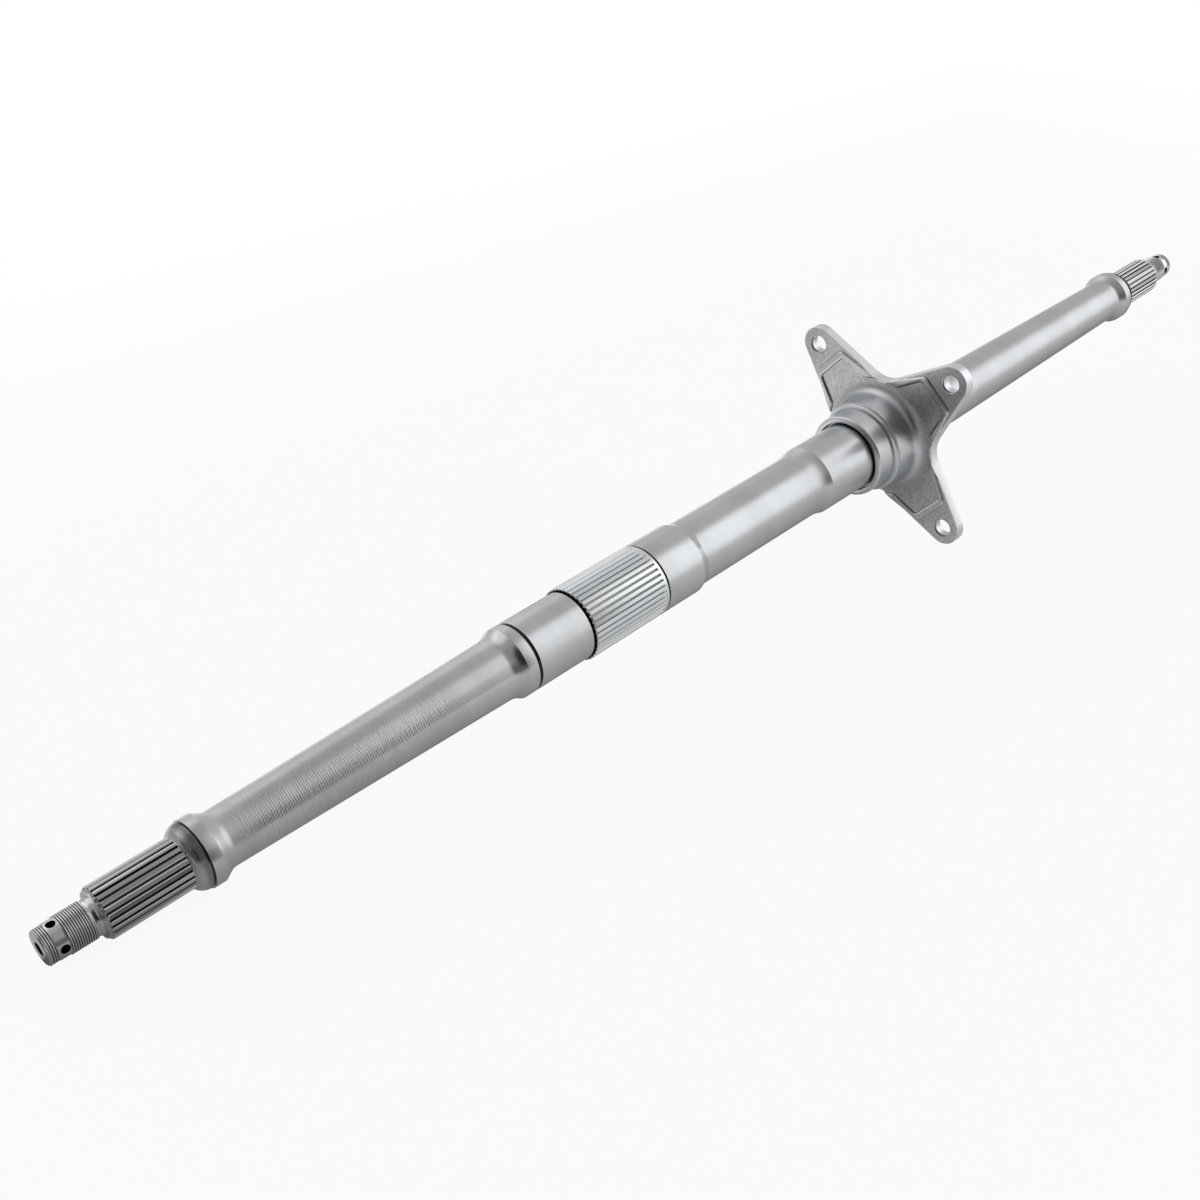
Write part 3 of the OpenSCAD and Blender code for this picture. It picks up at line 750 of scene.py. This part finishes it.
barrel = eased(
    [(SINK_R, HUB_BACK - 3), (SINK_R, HUB_BACK - 0.01), (BORE_R, HUB_BACK - 0.01),
     (BORE_R, SEAT_X), (MOUTH_R, SEAT_X), (MOUTH_R, MOUTH_X + MOUTH_CHAMFER),
     (MOUTH_R + MOUTH_CHAMFER, MOUTH_X)]
    + arc((RING1_R - LIP_R, MOUTH_X + LIP_R), LIP_R, -90, 0, 9)
    + arc((RING1_R + COVE_R, STEP1_X - COVE_R), COVE_R, 180, 90, 9)[:-1]
    + [(RING2_R, STEP1_X), (RING2_R, STEP2_X - COVE_R)]
    + arc((RING2_R + COVE_R, STEP2_X - COVE_R), COVE_R, 180, 90, 9)[:-1]
    + [(BARREL_R, STEP2_X)]
    + arc((BARREL_FOOT_R + FOOT_R, FLOOR_X - FOOT_R), FOOT_R, 180, 90, 16)
    + [(BARREL_FOOT_R + FOOT_R, FLOOR_X + 0.2), (SINK_R, FLOOR_X + 0.6)], 0.2)
no_tris = np.zeros((0, 3), np.int64)
mesh_piece("hub_barrel", *ring_turning(barrel, FINE), no_tris, steel_ring,
           "sprocket_hub", "hub_steel")


def half_width(u):
    """Half the arm's width at distance u from the axle: the diagonal between two arms,
    then the round valley, the straight flank and the round tip."""
    valley = VALLEY_C - np.sqrt(np.maximum(VALLEY_R ** 2 - (u - VALLEY_C) ** 2, 0))
    flank = (FLANK_W - u * FLANK_N[0]) / FLANK_N[1]
    tip = np.sqrt(np.maximum(TIP_R ** 2 - (u - BOLT_CIRCLE) ** 2, 0))
    low = np.minimum(u, valley)
    return np.where(u < VALLEY_U, low, np.where(u < TIP_U, flank, tip))


def tongue_distance(u, v, inset, end, corner, lean=0.0):
    """Distance to a tongue with round corners, negative inside: the larger of the
    distances to its side and its end, or to the corner's circle between them. Its side
    stands inset inside the arm's flank at its end, and leans in by that many degrees."""
    v = np.abs(v)
    n = math.sin(FLANK_A + math.radians(lean)), math.cos(FLANK_A + math.radians(lean))
    width = n[0] * end + n[1] * (FLANK_W - inset - FLANK_N[0] * end) / FLANK_N[1]
    cu = end - corner
    cv = (width - corner - cu * n[0]) / n[1]
    flank = n[0] * u + n[1] * v - width
    qu, qv = u - cu, v - cv
    in_corner = (qv >= 0) & (n[0] * qv - n[1] * qu <= 0)
    return np.where(in_corner, np.hypot(qu, qv) - corner, np.maximum(flank, u - end))


def rise(d, lo, hi):
    """0 below lo, 1 above hi and a smooth step between them."""
    t = np.clip((d - lo) / (hi - lo), 0, 1)
    return t * t * (3 - 2 * t)


def arm_height(u, v):
    """Height of the forging in front of its floor: rims of RIM_H that stand RIM_INSET
    inside the flanks and across the arm, with sloping walls on both sides."""
    outer = tongue_distance(u, v, RIM_INSET, RIM_END, RIM_CORNER, RIM_LEAN)
    inner = tongue_distance(u, v, RIM_W, RIM_END - CROSS_W, POCKET_CORNER)
    return (RIM_H * rise(-outer, -0.45, 0.45) * rise(inner, -0.8, 0.8)
            * rise(np.hypot(u, v), TURNED_R - 0.6, TURNED_R + 0.8))


def arm_grid():
    """Rows run along the arm and columns across it; both crowd together at the outline,
    at the rims' edges and at the pocket's walls."""
    u = np.concatenate([
        np.linspace(19.5, 36, 34)[:-1], np.linspace(36, 38.4, 10)[:-1],
        np.linspace(38.4, 48.5, 22)[:-1], np.linspace(48.5, 56, 34)[:-1],
        np.linspace(56, TIP_U, 26)[:-1],
        BOLT_CIRCLE + TIP_R * np.sin(np.linspace(FLANK_A, math.pi / 2, 30))])
    u = u[np.abs(u - VALLEY_U) > 0.12]
    u = u[np.abs(u - VALLEY_FOOT) > 0.12]
    u = np.sort(np.concatenate([u, [VALLEY_U, VALLEY_FOOT]]))
    inset = np.array([0, .08, .2, .36, .56, .8, 1.0, 1.2, 1.4, 1.6, 1.9, 2.4, 2.9, 3.2, 3.5,
                      3.8, 4.1, 4.4, 4.7, 5.0, 5.3])
    return u, inset


def arm_front():
    """The front of one arm as rows of (station, along, across). Each row is spread over
    the arm's width with columns at fixed insets from the flanks, and the edge is round:
    it drops by e - sqrt(e^2 - (e - d)^2) where the outline is d < e away."""
    u, inset = arm_grid()
    w = half_width(u)
    scale = np.minimum(1.0, w * 0.55 / inset[-1])[:, None]
    edge = w[:, None] - inset[None, :] * scale
    half = np.concatenate([edge, edge[:, -1:] * np.linspace(1, 0, 12)[None, 1:]], 1)
    v = np.concatenate([-half, half[:, -2::-1]], 1)
    uu = np.repeat(u[:, None], v.shape[1], 1)
    tip = TIP_R - np.hypot(uu - BOLT_CIRCLE, v)
    flank = FLANK_W - (FLANK_N[0] * uu + FLANK_N[1] * np.abs(v))
    valley = np.hypot(uu - VALLEY_C, np.abs(v) - VALLEY_C) - VALLEY_R
    inside = np.where(uu > TIP_U, tip, np.where(uu < VALLEY_U, valley, flank))
    inside = np.maximum(inside, 0)
    e = EDGE_R
    drop = e - np.sqrt(np.maximum(e * e - np.maximum(e - inside, 0) ** 2, 0))
    return np.stack([FLOOR_X - arm_height(uu, v) + drop, uu, v], -1), u


def one_sheet(points, flip):
    """Points and quads of a grid of rows and columns, turned over where flip is true."""
    rows, cols, _ = points.shape
    i = np.arange(rows - 1)[:, None] * cols
    j = np.arange(cols - 1)[None, :]
    q = np.stack([i + j, i + j + 1, i + cols + j + 1, i + cols + j], -1).reshape(-1, 4)
    return points.reshape(-1, 3), q[:, ::-1] if flip else q


def arms_mesh():
    """Front and back sheets of all four arms, joined by a wall along their outline and
    along the square left open round the shaft, which the barrel covers."""
    front, u = arm_front()
    rows, cols, _ = front.shape
    back = front.copy()
    back[..., 0] = HUB_BACK
    pts, quads, start = [], [], 0
    for a in ARM_ANGLES:
        for sheet, flip in ((front, False), (back, True)):
            p, q = one_sheet(sheet, flip)
            y = p[:, 1] * math.cos(a) - p[:, 2] * math.sin(a)
            z = p[:, 1] * math.sin(a) + p[:, 2] * math.cos(a)
            pts.append(np.stack([p[:, 0] - HUB_BACK, y, z], -1))
            quads.append(q + start)
            start += len(p)
        f0, b0 = start - 2 * rows * cols, start - rows * cols
        i = np.arange(rows)
        for j, turn in ((0, True), (cols - 1, False)):
            line = i * cols + j
            keep = u[:-1] >= VALLEY_FOOT - 1e-3
            q = np.stack([f0 + line[:-1], f0 + line[1:], b0 + line[1:], b0 + line[:-1]], -1)
            quads.append(q[keep][:, ::-1] if turn else q[keep])
        j = np.arange(cols - 1)
        quads.append(np.stack([f0 + j, f0 + j + 1, b0 + j + 1, b0 + j], -1))
    return np.concatenate(pts), np.concatenate(quads)


def merged(piece, distance):
    """Joins points nearer than distance, drops what has no area, and turns all faces
    outwards."""
    bm = bmesh.new()
    bm.from_mesh(piece.data)
    bmesh.ops.remove_doubles(bm, verts=bm.verts, dist=distance * MM)
    bmesh.ops.dissolve_degenerate(bm, edges=bm.edges, dist=1e-7)
    bmesh.ops.recalc_face_normals(bm, faces=bm.faces)
    bm.to_mesh(piece.data)
    bm.free()


arm_points, arm_quads = arms_mesh()
arms = mesh_piece("hub_arms", arm_points, arm_quads, no_tris, steel_arm, "sprocket_hub",
                  "hub_steel", sharp=None)
merged(arms, 0.004)

# A bolt hole's cutters start OUT beyond the plate, and its edges are cut back by CHAMFER.
OUT, CHAMFER = 1.0, 0.5
holes = []
for a in ARM_ANGLES:
    y, z = BOLT_CIRCLE * math.cos(a), BOLT_CIRCLE * math.sin(a)
    wide = BOLT_HOLE + CHAMFER + OUT
    holes += [((-ARM_T - 3 * OUT, y, z), (3 * OUT, y, z), BOLT_HOLE, BOLT_HOLE),
              ((-ARM_T - OUT, y, z), (-ARM_T + CHAMFER, y, z), wide, BOLT_HOLE),
              ((OUT, y, z), (-CHAMFER, y, z), wide, BOLT_HOLE)]
drilled(arms, holes)
crisp(arms, 38)

# The floor runs under the two lower arms' tips, ARM_REACH below the axis, and under the
# near collar, whose rim is COLLAR_AT in front of the hub's back face.
ARM_REACH, COLLAR_AT = 57.17, 481.5
FLOOR_A = math.atan2(ARM_REACH - COLLAR_R, COLLAR_AT - ARM_T)
FLOOR_HALF, FLOOR_GAP = 2600.0, 0.02


def floor_sheet():
    """A wide plane. The camera sees it near white with the object's faint shadow, and a
    reflected ray sees painted shade that depends on where it meets the plane."""
    x = np.array([-1, 1, 1, -1]) * FLOOR_HALF
    y = np.array([-1, -1, 1, 1]) * FLOOR_HALF
    z = -COLLAR_R - FLOOR_GAP - math.tan(FLOOR_A) * (x + COLLAR_AT)
    mesh = bpy.data.meshes.new("floor")
    mesh.from_pydata((np.stack([x, y, z], -1) * MM).tolist(), [], [[0, 1, 2, 3]])
    mesh.update()
    floor = linked("floor", mesh)
    f = Finish("pale_floor")
    co, x, y, z, r = f.place()
    # how far a point lies out to the +Y side, over its depth below the axis
    side = y / (z * -1.0).raised(4.0)
    back = (side * -1.0).raised(0.0)
    reflected_dark_wedge = ((y * -1.0) / (x + 450.0).raised(1.0)).step(1.3, 2.6) * (y * -1.0).step(80, 500)
    lit = 0.62 + 0.25 * x.fall(-330.0, -130.0)
    # Painted shade for reflected rays: dark under the shaft as in its shadow, darker
    # towards and past the near end, in a wedge on the -Y side and in a round spot on the +Y
    # side.
    seen = 0.25 + 0.5 * (back / (back + 1.5)) + lit * side.step(0.42, 0.85)
    seen = seen * (0.8 + 0.2 * x.step(-420.0, -150.0)) * (1.0 - 0.75 * reflected_dark_wedge) \
        * (0.45 + 0.55 * x.step(-560.0, -440.0)) \
        * (0.1 + 0.9 * length(x + 165.0, y - 195.0).step(40.0, 92.0))
    camera, glossy, through = f.rays("Camera", "Glossy", "Transmission")
    body = f.node("ShaderNodeBsdfDiffuse", None, {"Color": (0.95, 0.95, 0.95, 1)})
    shine = f.node("ShaderNodeEmission", None, {
        "Color": camera + through + glossy * seen, "Strength": 1.0})
    near = (x.size() * 0.6).raised(y.size()).fall(300.0, 900.0)
    both = f.node("ShaderNodeMixShader", None, [
        camera * (1.0 - 0.08 * near) + through + glossy, body, shine])
    f.node("ShaderNodeOutputMaterial", None, [both])
    mesh.materials.append(f.material)


def studio():
    """The world's light by direction: an even grey room, a wide soft window on the -Y side
    that is darker low down and towards the near end, two weaker lights on the +Y side, one
    high and one low, two dark flags beside the near end, and white where the camera looks
    past the floor."""
    world = bpy.data.worlds.new("studio")
    bpy.context.scene.world = world
    world.use_nodes = True
    f = Finish("studio", world.node_tree)
    d = f.node("ShaderNodeTexCoord", out=0)

    def lobe(direction, inner, outer):
        """1 within inner degrees of the direction, 0 beyond outer degrees."""
        n = Vector(direction).normalized()
        dot = f.node("ShaderNodeVectorMath", {"operation": "DOT_PRODUCT"}, [d, tuple(n)], 1)
        return dot.step(math.cos(math.radians(outer)), math.cos(math.radians(inner)))

    x, y, z = f.parts(d)
    room = 0.37 + 0.14 * x.step(0.3, 0.5)
    near_side = (y * -1.0).step(0.0, 0.34) * z.step(-0.4, 0.25)
    window = 0.28 + 0.88 * x.step(0.28, 0.56)
    light = room + near_side * (window - room) + lobe((-0.15, 0.65, 0.75), 10, 34) * 0.5 \
        + lobe((0.2, 0.88, 0.42), 8, 34) * 0.26
    low = x.fall(0.35, 0.6) * z.fall(0.3, 0.6) * (y * -1.0).step(0.45, 0.8)
    dark = lobe((-0.64, -0.6, 0.48), 18, 36).raised(lobe((-0.9, 0.0, 0.42), 14, 34) * 0.8)
    light = light * (1.0 - low * 0.6) * (1.0 - dark * 0.9)
    camera = f.rays("Camera")[0]
    dim = f.node("ShaderNodeBackground", None, {"Color": light, "Strength": 1.0})
    white = f.node("ShaderNodeBackground", None, {"Color": (1, 1, 1, 1), "Strength": 1.0})
    both = f.node("ShaderNodeMixShader", None, [camera, dim, white])
    f.node("ShaderNodeOutputWorld", None, [both])


SEEN_X, SEEN_PX, FOCAL_PX = 313.0, (3.24, -4.78), 1500


def photo_camera():
    """A 45 mm lens on a 36 mm frame, 1500 pixels for a view of 1200. ax and up are the
    axle's X and Z as the camera sees them (right, up, back), and Y follows from them. The
    axis point SEEN_X from the near tip lies far mm in front of the lens, and SEEN_PX pixels
    right of the middle of the view and above it (a negative number is below)."""
    ax = np.array([0.7086, 0.4302, -0.5595])
    ax /= np.linalg.norm(ax)
    up = np.array([-0.073, 0.833, 0.548])
    up -= up.dot(ax) * ax
    up /= np.linalg.norm(up)
    turn = np.column_stack([ax, np.cross(up, ax), up])
    far = 763.5
    seen = np.array([SEEN_PX[0] / FOCAL_PX * far, SEEN_PX[1] / FOCAL_PX * far, -far])
    place = np.array([SEEN_X - HUB_BACK, 0, 0]) - turn.T @ seen
    data = bpy.data.cameras.new("photo_camera")
    data.lens, data.sensor_width, data.sensor_fit = 45.0, 36.0, "HORIZONTAL"
    data.clip_start, data.clip_end = 0.02, 30.0
    camera = linked("photo_camera", data)
    world = Matrix([list(row) for row in turn.T]).to_4x4()
    world.translation = Vector(place * MM)
    camera.matrix_world = world
    bpy.context.scene.camera = camera


floor_sheet()
studio()
photo_camera()
bpy.context.scene.view_settings.view_transform = "Standard"
